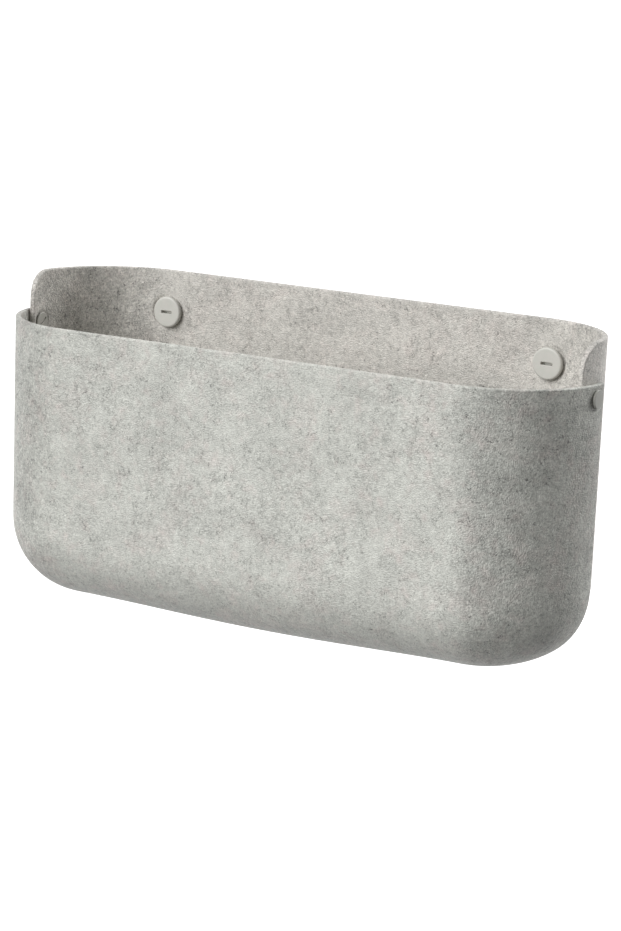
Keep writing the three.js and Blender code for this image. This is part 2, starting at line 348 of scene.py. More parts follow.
# How far each sheet runs past the middle plane, how round the wing's corner is, and how
# long the cut under the bottom is, as a share of the dish.
SHELL_PAST_MIDDLE, WING_PAST_MIDDLE = 9.0, 15.0
WING_CORNER, CUT_SHARE = 21.5, 0.9
# Where the knobs and the rivets sit.
KNOB_X, RIVET_DEPTH, RIVET_HEIGHT = 168.0, 81.0, 201.0
print("felt, mm:", FELT_THICKNESS, "thick,", PANEL_HEIGHT, "and", RIM_HEIGHT, "tall")


# %% One half of the dish
# Three spacings of the grid, in millimetres.
COARSE, FINE, FINEST = 3.0, 1.25, 1.0
# Each column's turn and each point's height depend on each other near the wing's cut, so
# they are worked out by turns, this often and within this angle of the cut.
SETTLE_ROUNDS, NEAR_CUT = 5, math.radians(25)


def stations(*stops):
    """Stations along a line: each stop is (where it starts, spacing from there), and the
    last is where the line ends. Every stretch is divided evenly."""
    made = []
    for (start, spacing), after in zip(stops[:-1], stops[1:]):
        end = after[0] if isinstance(after, tuple) else after
        count = max(1, round(abs(end - start) / spacing))
        made.append(start + (end - start) * np.arange(count) / count)
    return np.concatenate(made + [[stops[-1]]])


def half_dish(side, offset, top, past, turning, straight, down, bend_rows, flat_rows, corner):
    """The right half of one felt sheet's middle surface, as rows and columns of points.
    side is 1 for the back half of the dish and -1 for the front; offset is the distance
    outside the mould's surface; the sheet ends `past` mm beyond the dish's middle plane."""
    own_x, own_radius, far_x, far_radius = (
        (BACK_ARC_X, BACK_ARC_RADIUS, FRONT_ARC_X, FRONT_ARC_RADIUS) if side > 0
        else (FRONT_ARC_X, FRONT_ARC_RADIUS, BACK_ARC_X, BACK_ARC_RADIUS))
    beyond = stations((past, FINE), 0.0)[:-1]
    centre_x = np.concatenate([
        np.full(len(beyond), far_x), np.full(len(turning), own_x), straight])
    swing = np.concatenate([np.zeros(len(beyond)), turning, np.full(len(straight), np.pi / 2)])
    radius = np.full(len(swing), own_radius)
    radius[:len(beyond)] = far_radius

    share = np.concatenate([down, np.ones(bend_rows)])[:, None]
    bending = np.linspace(0, np.pi / 2, bend_rows + 1)[1:]
    curl = np.concatenate([np.zeros(len(down)), bending])[:, None]
    on_wall = curl == 0
    turn = swing
    for settle in range(SETTLE_ROUNDS):
        nx, ny = np.cos(turn), side * np.sin(turn)
        bend = nx ** 2 * SIDE_BEND + ny ** 2 * np.where(ny < 0, FRONT_BEND, BACK_BEND)
        foot = MOULD_BOTTOM + bend
        z = np.where(on_wall, top - share * (top - foot), foot - (bend + offset) * np.sin(curl))
        out = (bend + offset) * np.cos(curl) - bend
        leans = np.where(ny > 0, nx ** 2, 1)
        reach = radius + out - np.tan(WALL_LEAN) * (RIM_HEIGHT - z) * leans
        # How far past the middle plane the point is, towards the dish's own side.
        ahead = reach * np.sin(swing)
        ahead[:, :len(beyond)] = -beyond
        if corner:
            # A square cell grid pushed into a quarter circle, corner to 45 degrees.
            along = np.clip((corner - past - ahead) / corner, 0, 1)
            rise = np.clip((z - top + corner) / corner, 0, 1)
            round_here = (along > 0) & (rise > 0)
            pushed = corner - past - corner * along * np.sqrt(1 - rise ** 2 / 2)
            raised = top - corner + corner * rise * np.sqrt(1 - along ** 2 / 2)
            ahead, z = np.where(round_here, pushed, ahead), np.where(round_here, raised, z)
            reach = radius + out - np.tan(WALL_LEAN) * (RIM_HEIGHT - z) * leans
        turn = np.where(
            np.abs(swing) < NEAR_CUT, np.arcsin(np.clip(ahead / reach, -1, 1)), swing)
    x = centre_x + reach * np.cos(turn)
    y = -MIDDLE_DEPTH + side * reach * np.sin(turn)

    # The bottom: straight lines from the end of the bend to the sheet's cut.
    cut_y = -MIDDLE_DEPTH - side * past
    steps = np.hypot(np.diff(x[-1]), np.diff(y[-1]))
    run = np.concatenate([[0], np.cumsum(steps)]) / steps.sum()
    flat = (np.arange(flat_rows) + 1)[:, None] / flat_rows
    flat_x = x[-1] + (CUT_SHARE * x[-1, 0] * (1 - run) - x[-1]) * flat
    flat_y = y[-1] + (cut_y - y[-1]) * flat
    flat_z = np.broadcast_to(z[-1], flat_x.shape)

    both = [np.vstack(parts) for parts in ((x, flat_x), (y, flat_y), (z, flat_z))]
    settled = np.concatenate([np.sin(curl[:, 0]), np.ones(flat_rows)])[:, None]
    at_front = np.concatenate([np.ones(len(curl)), 1 - flat[:, 0]])[:, None]
    return soften(np.stack(both, axis=-1), side, settled, at_front)


# %% Use and weight, the mirror image and the frame
def soften(points, side, settled, at_front):
    """What use and its own weight do to the pressed form between the two round ends: the
    rim is drawn in, the front stands out lower down, and the bottom hangs through. Each
    is largest in the middle and fades as (1 - x²)², with x = 1 at the front corners."""
    x, y, z = points[..., 0], points[..., 1], points[..., 2]
    span = (1 - np.clip(x / FRONT_ARC_X, -1, 1) ** 2) ** 2
    lift = z / RIM_HEIGHT
    if side < 0:
        y = y + span * at_front * (RIM_BOW * lift - BELLY * np.clip(1 - lift, 0, 1))
    z = z - BOTTOM_SAG * span * settled
    return np.stack([x, y, z], axis=-1)


def whole_dish(half):
    """The half and its mirror image, without the middle column twice."""
    mirrored = half[:, -2::-1] * np.array([-1, 1, 1])
    return np.concatenate([half, mirrored], axis=1)


def in_frame(points):
    """From the basket's own origin, at the panel's back and the underside, to the frame's."""
    return points + np.array([0, PANEL_BACK, -KNOB_HEIGHT])


# %% The two middle surfaces
# Each stop of the stations below is a place and the spacing from there: radians round
# the ends, mm along the straight, and shares of the wall's height down it. They are
# closer where a fitting presses in. A turn's radius is about that of its sheet's end.
PANEL_TURN, SHELL_TURN = 78, 75
QUARTER_TURN = math.radians(90)
panel_grid = in_frame(whole_dish(half_dish(
    side=1, offset=-FELT_THICKNESS / 2, top=PANEL_HEIGHT, past=WING_PAST_MIDDLE,
    turning=stations((0.0, FINE / PANEL_TURN), (math.radians(8), COARSE / PANEL_TURN),
                     (math.radians(73), FINEST / PANEL_TURN), QUARTER_TURN)[:-1],
    straight=stations((BACK_ARC_X, FINEST), (149.0, COARSE), 0.0),
    down=stations((0.0, 0.0135), (0.095, 0.0054), (0.27, 0.0165), 1.0),
    bend_rows=27, flat_rows=14, corner=WING_CORNER)))
shell_grid = in_frame(whole_dish(half_dish(
    side=-1, offset=NEST_GAP + FELT_THICKNESS / 2, top=RIM_HEIGHT, past=SHELL_PAST_MIDDLE,
    turning=stations((0.0, FINE / SHELL_TURN), (math.radians(11), COARSE / SHELL_TURN),
                     QUARTER_TURN)[:-1],
    straight=stations((FRONT_ARC_X, COARSE), 0.0),
    down=stations((0.0, 0.0085), (0.14, 0.0195), 1.0),
    bend_rows=27, flat_rows=12, corner=0)))
print("panel grid", panel_grid.shape, "shell grid", shell_grid.shape)

# %% [markdown]
# Thickness, edges and holes. Solidify grows the sheet to both sides of its middle, and
# Bevel rounds only the cut edges, because nothing else turns by more than 50 degrees.
# The holes for the two hangers and the two rivets are bored afterwards with plain round
# cutters, as a punch would, and their edges are hidden under the knobs and rivet heads.

# %% Rings and places
# How many points go round a piece and round a punch, and a circle so small that its
# points are merged into one.
AROUND, PUNCH_AROUND, POINT = 128, 64, 1e-6


def ring(radius, count=AROUND):
    """Points round a circle in plan: (radius cos a, radius sin a)."""
    angle = np.arange(count) * 2 * np.pi / count
    return np.stack([radius * np.cos(angle), radius * np.sin(angle)], axis=-1)


def placed(plan, height, at, out, across):
    """Turns plan points and heights into the frame: at + across u + up v + out h."""
    out, across = np.array(out, float), np.array(across, float)
    high = np.array([0.0, 0.0, 1.0])
    height = np.broadcast_to(height, plan.shape[:-1])
    return (np.array(at, float) + plan[..., :1] * across + plan[..., 1:] * high
            + height[..., None] * out)


# %% Punches and sheets
def punch(at, out, across, radius, start, end):
    """A closed round bar from start to end along `out`, for boring a hole."""
    rows = np.stack([ring(size, PUNCH_AROUND) for size in (POINT, radius, radius, POINT)])
    heights = np.array([start, start, end, end])[:, None]
    mesh = grid_mesh("punch", placed(rows, heights, at, out, across), around=True)
    merge_doubles(mesh)
    return mesh


def felt_sheet(name, grid, cutters):
    """A felt piece from its middle surface, with thickness, soft cut edges and holes."""
    piece = new_piece(name, grid_mesh(name, grid))
    thick = piece.modifiers.new("felt thickness", "SOLIDIFY")
    thick.thickness = FELT_THICKNESS / 1000
    thick.offset = 0
    thick.use_even_offset = True
    edge = piece.modifiers.new("cut edge", "BEVEL")
    edge.width = EDGE_ROUNDING / 1000
    edge.segments = 3
    edge.limit_method = "ANGLE"
    edge.angle_limit = math.radians(50)
    edge.use_clamp_overlap = False
    keep_modifiers(piece)
    merge_doubles(piece.data, outwards=False)
    for cutter_mesh in cutters:
        cutter = new_piece("punch", cutter_mesh)
        bore = piece.modifiers.new("hole", "BOOLEAN")
        bore.operation = "DIFFERENCE"
        bore.solver = "EXACT"
        bore.object = cutter
        keep_modifiers(piece)
        bpy.data.objects.remove(cutter)
    return piece


# %% Bore the sheets
# A place is a point on its axis, the way out along it and the way across it.
SIDES = (("left", -1), ("right", 1))
FROM_WALL, RIGHTWARDS, BACKWARDS = (0, -1, 0), (1, 0, 0), (0, 1, 0)
hanger_place = {name: ((side * KNOB_X, 0, 0), FROM_WALL, RIGHTWARDS) for name, side in SIDES}
rivet_y, rivet_z = PANEL_BACK - RIVET_DEPTH, RIVET_HEIGHT - KNOB_HEIGHT
# Each hole's radius, and where its punch starts and ends: from the wall for a hanger,
# and from the middle of the basket for a rivet.
HANGER_PUNCH, RIVET_PUNCH = (7.8, -5, 20), (3.5, 230, 255)
hanger_punches = [punch(*place, *HANGER_PUNCH) for place in hanger_place.values()]
rivet_punches = [punch((0, rivet_y, rivet_z), (side, 0, 0), BACKWARDS, *RIVET_PUNCH)
                 for name, side in SIDES]
back_panel = felt_sheet("felt_back_panel", panel_grid, hanger_punches + rivet_punches)
front_shell = felt_sheet("felt_front_shell", shell_grid, rivet_punches)
print("hanger holes:", len(hanger_punches), "rivet holes:", 2 * len(rivet_punches))

# %% Where the fittings press into the felt
KNOB_RADIUS, RIVET_HEAD = 12.2, 7.0
# How far out the felt's face lies under each fitting, and the seat's radius and fade.
KNOB_SEAT, SCREW_SEAT, POST_SEAT = -6.2, 237.4, 244.9
KNOB_PRINT, RIVET_PRINT = (KNOB_RADIUS + 0.6, 2.4), (RIVET_HEAD + 0.4, 2.2)
# Points nearer to the seat than this belong to its face, not to the sheet's other one.
ONE_FACE = 2.6


def press(piece, side, axis, centre, limit, below, seat_radius, fade):
    """Flattens the felt round one fitting: inside the seat's radius its outward coordinate
    is kept below the limit, or above it, and less and less so over the fade."""
    points = np.empty(len(piece.data.vertices) * 3, np.float32)
    piece.data.vertices.foreach_get("co", points)
    points = points.reshape(-1, 3).astype(float) * 1000
    away = np.hypot(*np.delete(points - centre, axis, axis=1).T)
    weight = ease(1 - (away - seat_radius) / fade)
    outward = points[:, axis] * side
    wanted = np.minimum(outward, limit) if below else np.maximum(outward, limit)
    near = (np.abs(outward - limit) < ONE_FACE) & (away < seat_radius + fade)
    points[:, axis] = np.where(near, outward + (wanted - outward) * weight, outward) * side
    piece.data.vertices.foreach_set("co", (points / 1000).astype(np.float32).ravel())
    piece.data.update()


for name, side in SIDES:
    press(back_panel, 1, 1, (side * KNOB_X, 0, 0), KNOB_SEAT, False, *KNOB_PRINT)
    press(back_panel, side, 0, (0, rivet_y, rivet_z), SCREW_SEAT, False, *RIVET_PRINT)
    press(front_shell, side, 0, (0, rivet_y, rivet_z), POST_SEAT, True, *RIVET_PRINT)
for piece in (back_panel, front_shell):
    smooth(piece, crease_degrees=60)
    piece.data.calc_loop_triangles()
    print(piece.name, "triangles:", len(piece.data.loop_triangles))

# %% [markdown]
# Pressed polyester felt. The sheet is needled from short polyester fibres and set in a
# hot mould. That gives the eye a dull grey with a broad, weak gloss where the mould
# ironed the fibres flat; a fine grain of crossing fibres; soft clouds, lighter and
# darker, as wide as a thumb; dark fibres that curl together in small groups, and a few
# light ones; and a grey that leans a little to green, with warmer flecks where fibres of
# another batch lie. Each of these is a noise at its real size in millimetres. A fibre is
# about 0.03 mm thick, which no pixel can show, so strokes are drawn ten times as wide.

# %% Felt colours and sizes
SHELL_GREY, PANEL_GREY, FELT_FLECK = "CDCEC7", "C9C6C0", "D0CAC4"
# Patch size in mm, how far the brightness swings from its darkest to its lightest, and
# how much the patches are bent into curls.
LIGHT_AND_DARK = (
    (28, 0.24, 0.0), (14, 0.14, 0.5), (7, 0.18, 0.8),
    (3.6, 0.26, 0.5), (1.8, 0.40, 0.0), (1.0, 0.50, 0.0))
# Curl size in mm, bending, width, change of brightness, then how long the pieces are and
# how wide the groups, each with the noise values between which they fade in.
FIBRES = (
    (3.2, 2.4, 0.07, -0.64, (2.6, 0.42, 0.58), (8.0, 0.45, 0.58)),
    (4.2, 1.6, 0.03, 0.20, (2.2, 0.44, 0.56), (14.0, 0.42, 0.60)))
# Size of the flecks and the noise values between which they fade in, then size and swing
# of the slow change from grey to fleck.
FLECK_SIZE, FLECKS_FROM, FLECKS_FULL = 7.5, 0.5, 0.9
COLOUR_DRIFT = ((40, 1.2), (12, 0.9))
# The finest patches are also high and low by 1, and a fibre lies proud by its lift.
FIBRE_LIFT = 0.3
# Painted shade on the round ends, which are painted darker than the flat walls: how far from the
# middle it starts and is full, in mm, and how much light each sheet is painted to lose there.
END_SHADE_FROM, END_SHADE_TO = 166.0, 198.0
SHELL_END_SHADE, PANEL_END_SHADE = 0.22, 0.04
# How much further apart light and dark lie there, painted as stronger relief shading on the round ends.
END_SHADE_CONTRAST = 0.6
print("fine to coarse, mm:", sorted(size for size, swing, bend in LIGHT_AND_DARK))


# %% Felt shader
def felt_material(name, grey, end_shade):
    """The felt's shader: brightness is 1 plus each noise's swing and each kind of fibre,
    raised to a power above 1 and lowered on the round ends as painted shade; colour goes
    from grey to fleck by another noise; both are multiplied together."""
    material, tree = empty_material(name)
    place = add_node(tree, "ShaderNodeTexCoord")
    mm = add_node(tree, "ShaderNodeMapping", {
        "Vector": place.outputs["Object"], "Scale": (1000, 1000, 1000)})
    brightness = 1 - sum(swing for size, swing, bend in LIGHT_AND_DARK) / 2
    for size, swing, bend in LIGHT_AND_DARK:
        grain = add_node(tree, "ShaderNodeTexNoise", {
            "Vector": mm, "Scale": 1 / size, "Detail": 0.0, "Distortion": bend})
        brightness = add_node(tree, "ShaderNodeMath", {
            0: grain, 1: swing, 2: brightness}, operation="MULTIPLY_ADD")
    relief = grain

    # A fibre is where a wavy noise crosses its middle value: a thin, curling line. Two
    # masks break it into short pieces and keep them in groups.
    for size, bend, width, change, pieces, groups in FIBRES:
        curls = add_node(tree, "ShaderNodeTexNoise", {
            "Vector": mm, "Scale": 1 / size, "Detail": 0.0, "Distortion": bend})
        off_line = add_node(tree, "ShaderNodeMath", {0: curls, 1: 0.5}, operation="SUBTRACT")
        off_line = add_node(tree, "ShaderNodeMath", {0: off_line}, operation="ABSOLUTE")
        line = add_node(tree, "ShaderNodeMapRange", {
            "Value": off_line, "From Max": width, "To Min": 1.0, "To Max": 0.0})
        for mask_size, low, high in (pieces, groups):
            cover = add_node(tree, "ShaderNodeTexNoise", {
                "Vector": mm, "Scale": 1 / mask_size, "Detail": 1.0})
            mask = add_node(tree, "ShaderNodeMapRange", {
                "Value": cover, "From Min": low, "From Max": high})
            line = add_node(tree, "ShaderNodeMath", {0: line, 1: mask}, operation="MULTIPLY")
        brightness = add_node(tree, "ShaderNodeMath", {
            0: line, 1: change, 2: brightness}, operation="MULTIPLY_ADD")
        relief = add_node(tree, "ShaderNodeMath", {
            0: line, 1: FIBRE_LIFT, 2: relief}, operation="MULTIPLY_ADD")

    # Painted shade on the round ends: brightness to a higher power, times what the painted shade
    # leaves.
    across = add_node(tree, "ShaderNodeSeparateXYZ", {"Vector": mm}).outputs["X"]
    across = add_node(tree, "ShaderNodeMath", {0: across}, operation="ABSOLUTE")
    shaded_end = add_node(tree, "ShaderNodeMapRange", {
        "Value": across, "From Min": END_SHADE_FROM, "From Max": END_SHADE_TO},
        interpolation_type="SMOOTHSTEP")
    contrast = add_node(tree, "ShaderNodeMath", {
        0: shaded_end, 1: END_SHADE_CONTRAST, 2: 1.0}, operation="MULTIPLY_ADD")
    brightness = add_node(
        tree, "ShaderNodeMath", {0: brightness, 1: contrast}, operation="POWER")
    painted_shade = add_node(tree, "ShaderNodeMath", {
        0: shaded_end, 1: -end_shade, 2: 1.0}, operation="MULTIPLY_ADD")
    brightness = add_node(
        tree, "ShaderNodeMath", {0: brightness, 1: painted_shade}, operation="MULTIPLY")

    # How far the colour has gone from grey to fleck: flecks, and slow drifts either way.
    drift_start = -sum(swing for size, swing in COLOUR_DRIFT) / 2
    flecks = add_node(tree, "ShaderNodeTexNoise", {
        "Vector": mm, "Scale": 1 / FLECK_SIZE, "Detail": 1.0})
    warmth = add_node(tree, "ShaderNodeMapRange", {
        "Value": flecks, "From Min": FLECKS_FROM, "From Max": FLECKS_FULL,
        "To Min": drift_start, "To Max": 1 + drift_start})
    for size, swing in COLOUR_DRIFT:
        drift = add_node(tree, "ShaderNodeTexNoise", {
            "Vector": mm, "Scale": 1 / size, "Detail": 0.0, "Distortion": 0.4})
        warmth = add_node(tree, "ShaderNodeMath", {
            0: drift, 1: swing, 2: warmth}, operation="MULTIPLY_ADD")
    tint = add_node(tree, "ShaderNodeMix", {
        0: warmth, 6: linear(grey), 7: linear(FELT_FLECK)}, data_type="RGBA").outputs[2]
    colour = add_node(tree, "ShaderNodeMix", {
        0: 1.0, 6: tint, 7: brightness}, data_type="RGBA", blend_type="MULTIPLY").outputs[2]
    bump = add_node(tree, "ShaderNodeBump", {
        "Height": relief, "Strength": 0.55, "Distance": 0.001})
    shader = add_node(tree, "ShaderNodeBsdfPrincipled", {
        "Base Color": colour, "Roughness": 0.5, "IOR": 1.5, "Normal": bump})
    add_node(tree, "ShaderNodeOutputMaterial", {"Surface": shader})
    return material


# %% Dress the felt pieces
def dress(piece, finish, body, node):
    """Gives the piece its finish in a material slot and the body that it moves with, and
    hides the solid that it stands for."""
    piece.data.materials.clear()
    piece.data.materials.append(finish)
    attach(piece, body)
    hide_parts(node)
    print(piece.name, "faces:", len(piece.data.polygons))


# Both felts are painted darker on their round ends, as painted shade.
warm_felt = felt_material("warm_pressed_felt", PANEL_GREY, PANEL_END_SHADE)
cool_felt = felt_material("cool_pressed_felt", SHELL_GREY, SHELL_END_SHADE)
dress(back_panel, warm_felt, "basket", "back_panel")
dress(front_shell, cool_felt, "basket", "front_shell")

# %% [markdown]
# The knobs. Each is a moulded plastic cap with a slot for a coin, on a hollow neck that
# turns in a socket on the wall. A lathe would give the round parts but not the slot, so
# each knob is one closed skin: rows run from the slot's floor up its walls, out over the
# face, round the edge, under the cap, down the neck and to its end. The outline changes
# from row to row, from the slot's shape to circles, and the same count of points runs
# round every row.

# %% Outlines and skins
# An edge that is only broken, the short step of a sharp edge, and the angle from which
# an edge is shaded hard.
SMALL_EDGE, SHARP_STEP, HARD_EDGE = 0.3, 0.02, 40


def turned(plan, angle):
    """Plan points turned about the middle: (x cos a - y sin a, x sin a + y cos a)."""
    cosine, sine = math.cos(angle), math.sin(angle)
    return plan @ np.array([[cosine, sine], [-sine, cosine]])


def even_steps(path):
    """A ring's count of points along a closed path, all the same way apart."""
    walked = np.concatenate([[0], np.cumsum(np.hypot(*np.diff(path, axis=0).T))])
    even = np.arange(AROUND) / AROUND * walked[-1]
    return np.stack([np.interp(even, walked, path[:, axis]) for axis in (0, 1)], axis=-1)


def slot_outline(length, width, corner):
    """A slot from the middle of one end: quarter circles round its corners' centres."""
    quarter = np.linspace(0, np.pi / 2, 9)
    cx, cy = length / 2 - corner, width / 2 - corner
    arcs = [np.stack([sx * cx + corner * np.cos(start * np.pi + quarter),
                      sy * cy + corner * np.sin(start * np.pi + quarter)], axis=-1)
            for sx, sy, start in ((1, 1, 0), (-1, 1, 0.5), (-1, -1, 1), (1, -1, 1.5))]
    return even_steps(np.concatenate([[[length / 2, 0]], *arcs, [[length / 2, 0]]]))


def rounded(radius, height, edge, start, end, count):
    """Rows round an edge: circles of radius + edge cos a at height + edge sin a."""
    for angle in np.linspace(math.radians(start), math.radians(end), count):
        yield ring(radius + edge * math.cos(angle)), height + edge * math.sin(angle)


def skin(name, rows, at, out, across, tilt=0.0, through=False):
    """Makes a closed piece of rows, each an outline in plan and its height along `out`."""
    outlines, heights = zip(*rows)
    height = np.stack([np.broadcast_to(row, AROUND) for row in heights])
    points = placed(turned(np.stack(outlines), tilt), height, at, out, across)
    mesh = grid_mesh(name, points, around=True, through=through)
    merge_doubles(mesh)
    piece = new_piece(name, mesh)
    smooth(piece, HARD_EDGE)
    return piece


def slotted_face(slot, floor, face, lip, edge_radius):
    """Rows from the spine of a slot's floor up its wall, over a soft lip, and out to a
    circle: the outline is mixed with the circle, from all slot to all circle."""
    spine = slot * np.array([0.9, 0.0])
    yield spine, floor
    for angle in np.linspace(-np.pi / 2, 0, 4):
        inside = lip * (1 - math.cos(angle))
        yield slot * (1 - inside / slot.max(axis=0)), floor + lip * (1 + math.sin(angle))
    length = np.hypot(*slot.T)[:, None]
    for angle in np.linspace(0, np.pi / 2, 5):
        grow = lip * (1 - math.cos(angle))
        yield slot + slot / length * grow, face - lip + lip * math.sin(angle)
    lipped = slot + slot / length * lip
    for share in (0.08, 0.25, 0.5, 0.8, 1.0):
        yield lipped * (1 - share) + ring(edge_radius) * share, face


# %% Knobs
KNOB_BACK, KNOB_FACE, KNOB_EDGE = 6.6, 11.2, 1.6
# The back of the cap is undercut: a gap this high and this deep holds its shadow.
SHADOW_GAP, GAP_DEPTH = 1.3, 1.5
# Length, width and corner of the coin slot, then its depth and the rounding of its lip.
COIN_SLOT = (9.8, 2.3, 0.5)
SLOT_DEPTH, SLOT_LIP = 4.6, 0.2
# The circle that the slot's outline has become, and the one where the face ends.
FACE_CIRCLE, FLAT_CIRCLE = 9.0, 9.7
CAVITY_RADIUS, CAVITY_END = 7.8, 8.6
STEM_RADIUS, STEM_END, STEM_EDGE = 5.4, 3.7, 0.2
LUG_RADIUS, LUG_BACK, LUG_FRONT = 6.3, 4.0, 5.7
LUG_HALF_ANGLE = math.radians(22)


def knob_rows():
    """The rows of a knob's skin, from the floor of its slot to the end of its neck. A lug
    is where the angle to the level is small: there the neck's radius is the lug's."""
    yield from slotted_face(slot_outline(*COIN_SLOT), KNOB_FACE - SLOT_DEPTH, KNOB_FACE,
                            SLOT_LIP, FACE_CIRCLE)
    yield ring(FLAT_CIRCLE), KNOB_FACE
    yield from rounded(KNOB_RADIUS - KNOB_EDGE, KNOB_FACE - KNOB_EDGE, KNOB_EDGE, 90, 0, 9)
    yield from rounded(KNOB_RADIUS - SMALL_EDGE, KNOB_BACK + SHADOW_GAP + SMALL_EDGE,
                       SMALL_EDGE, 0, -90, 4)
    yield ring(KNOB_RADIUS - GAP_DEPTH), KNOB_BACK + SHADOW_GAP
    yield ring(KNOB_RADIUS - GAP_DEPTH), KNOB_BACK
    yield from rounded(CAVITY_RADIUS + SMALL_EDGE, KNOB_BACK + SMALL_EDGE,
                       SMALL_EDGE, -90, -180, 3)
    yield ring(CAVITY_RADIUS), CAVITY_END - SHARP_STEP / 2
    yield ring(CAVITY_RADIUS - SHARP_STEP / 2), CAVITY_END
    yield ring(STEM_RADIUS), CAVITY_END
    angle = np.arange(AROUND) * 2 * np.pi / AROUND
    off_lug = np.abs(np.mod(angle + np.pi / 2, np.pi) - np.pi / 2)
    lug = ring(1.0) * np.where(off_lug < LUG_HALF_ANGLE, LUG_RADIUS, STEM_RADIUS)[:, None]
    yield ring(STEM_RADIUS), LUG_FRONT
    yield lug, LUG_FRONT - SHARP_STEP
    yield lug, LUG_BACK + SHARP_STEP
    yield ring(STEM_RADIUS), LUG_BACK
    yield ring(STEM_RADIUS), STEM_END + STEM_EDGE
    yield ring(STEM_RADIUS - STEM_EDGE), STEM_END
    yield ring(POINT), STEM_END


knobs = {name: skin(f"slotted_knob_{name}", knob_rows(), *place)
         for name, place in hanger_place.items()}
print("rows of a knob:", len(list(knob_rows())))

# %% [markdown]
# The rivets. Each side is held by a screwed rivet: a plain flat head with a hollow post
# outside, and a slotted head whose shank runs into that post inside. They are made as
# the knobs are, with the slot turned to where it stopped when it was tightened.

# %% Rivets
RIVET_EDGE, UNDER_EDGE, FACE_MARGIN = 0.6, 0.15, 0.2
POST_HEAD, POST_CROWN, SCREW_HEAD = 2.5, 0.12, 1.9
# The heads stand on a narrower step: how high it is, and how far in from the rim.
HEAD_GAP, HEAD_STEP = 0.9, 1.4
BARREL_RADIUS, BORE_RADIUS, SHANK_RADIUS = 3.2, 2.1, 1.9
BARREL_LENGTH, SHANK_LENGTH, BORE_BOTTOM = 7.2, 5.0, -0.3
DRIVER_SLOT = (10.0, 1.8, 0.35)
DRIVER_SLOT_DEPTH, DRIVER_SLOT_LIP = 0.9, 0.15
SLOT_TILT = {"left": math.radians(33), "right": math.radians(20)}


def under_head():
    """Rows from a head's rim in to the narrower step that it stands on."""
    yield ring(RIVET_HEAD), HEAD_GAP + UNDER_EDGE
    yield ring(RIVET_HEAD - UNDER_EDGE), HEAD_GAP
    yield ring(RIVET_HEAD - HEAD_STEP), HEAD_GAP
    yield ring(RIVET_HEAD - HEAD_STEP), 0


def post_rows():
    """Rows of the plain head and its hollow barrel, from the face to the bore's bottom.
    The face is crowned by 1 - share², where share is the way out to its edge."""
    yield ring(POINT), POST_HEAD + POST_CROWN
    for share in np.linspace(0.15, 0.9, 5):
        yield ring((RIVET_HEAD - RIVET_EDGE) * share), POST_HEAD + POST_CROWN * (1 - share ** 2)
    yield from rounded(RIVET_HEAD - RIVET_EDGE, POST_HEAD - RIVET_EDGE, RIVET_EDGE, 90, 0, 6)
    yield from under_head()
    yield ring(BARREL_RADIUS), 0
    yield ring(BARREL_RADIUS), -BARREL_LENGTH + SMALL_EDGE
    yield ring(BARREL_RADIUS - SMALL_EDGE), -BARREL_LENGTH
    yield ring(BORE_RADIUS), -BARREL_LENGTH
    yield ring(BORE_RADIUS), BORE_BOTTOM
    yield ring(POINT), BORE_BOTTOM


def screw_rows():
    """Rows of the slotted head and its shank, from the slot's floor to the shank's end."""
    yield from slotted_face(slot_outline(*DRIVER_SLOT), SCREW_HEAD - DRIVER_SLOT_DEPTH,
                            SCREW_HEAD, DRIVER_SLOT_LIP, RIVET_HEAD - RIVET_EDGE - FACE_MARGIN)
    yield from rounded(RIVET_HEAD - RIVET_EDGE, SCREW_HEAD - RIVET_EDGE, RIVET_EDGE, 90, 0, 6)
    yield from under_head()
    yield ring(SHANK_RADIUS), 0
    yield ring(SHANK_RADIUS), -SHANK_LENGTH + SMALL_EDGE
    yield ring(SHANK_RADIUS - SMALL_EDGE), -SHANK_LENGTH
    yield ring(POINT), -SHANK_LENGTH


posts, screws = {}, {}
for name, side in SIDES:
    post_at, screw_at = [(side * seat, rivet_y, rivet_z) for seat in (POST_SEAT, SCREW_SEAT)]
    posts[name] = skin(
        f"rivet_post_{name}_side", post_rows(), post_at, (side, 0, 0), BACKWARDS)
    screws[name] = skin(f"rivet_screw_{name}_side", screw_rows(), screw_at,
                        (-side, 0, 0), BACKWARDS, SLOT_TILT[name])
print("felt held between heads, mm:", round(POST_SEAT - SCREW_SEAT, 1))

# %% [markdown]
# Moulded fittings plastic. Knobs, sockets and rivets look like polypropylene or ABS,
# injection moulded in a lightly etched mould and coloured to match the felt. The eye
# gets a satin sheen with a soft highlight on the rounded edges, a colour that hardly
# changes, and at close range the fine etched grain of the mould.

# %% Plastic material
# Sizes in mm of the faint unevenness and of the etched grain.
FLOW_SIZE, ETCH_SIZE = 6.0, 0.45


def plastic_material(name, shade, warm_shade):
    """Satin moulded plastic: one noise mixes the two shades and the roughness, and a finer
    one is the etched grain."""
    material, tree = empty_material(name)
    place = add_node(tree, "ShaderNodeTexCoord")
    mm = add_node(tree, "ShaderNodeMapping", {
        "Vector": place.outputs["Object"], "Scale": (1000, 1000, 1000)})
    flow = add_node(tree, "ShaderNodeTexNoise", {
        "Vector": mm, "Scale": 1 / FLOW_SIZE, "Detail": 2.0})
    colour = add_node(tree, "ShaderNodeMix", {
        0: flow, 6: linear(shade), 7: linear(warm_shade)}, data_type="RGBA")
    etch = add_node(tree, "ShaderNodeTexNoise", {
        "Vector": mm, "Scale": 1 / ETCH_SIZE, "Detail": 2.0})
    worn = add_node(tree, "ShaderNodeMapRange", {
        "Value": flow, "From Min": 0.3, "From Max": 0.7,
        "To Min": 0.36, "To Max": 0.46})
    bump = add_node(tree, "ShaderNodeBump", {
        "Height": etch, "Strength": 0.12, "Distance": 0.0002})
    shader = add_node(tree, "ShaderNodeBsdfPrincipled", {
        "Base Color": colour.outputs[2], "Roughness": worn, "IOR": 1.49,
        "Normal": bump})
    add_node(tree, "ShaderNodeOutputMaterial", {"Surface": shader})
    return material


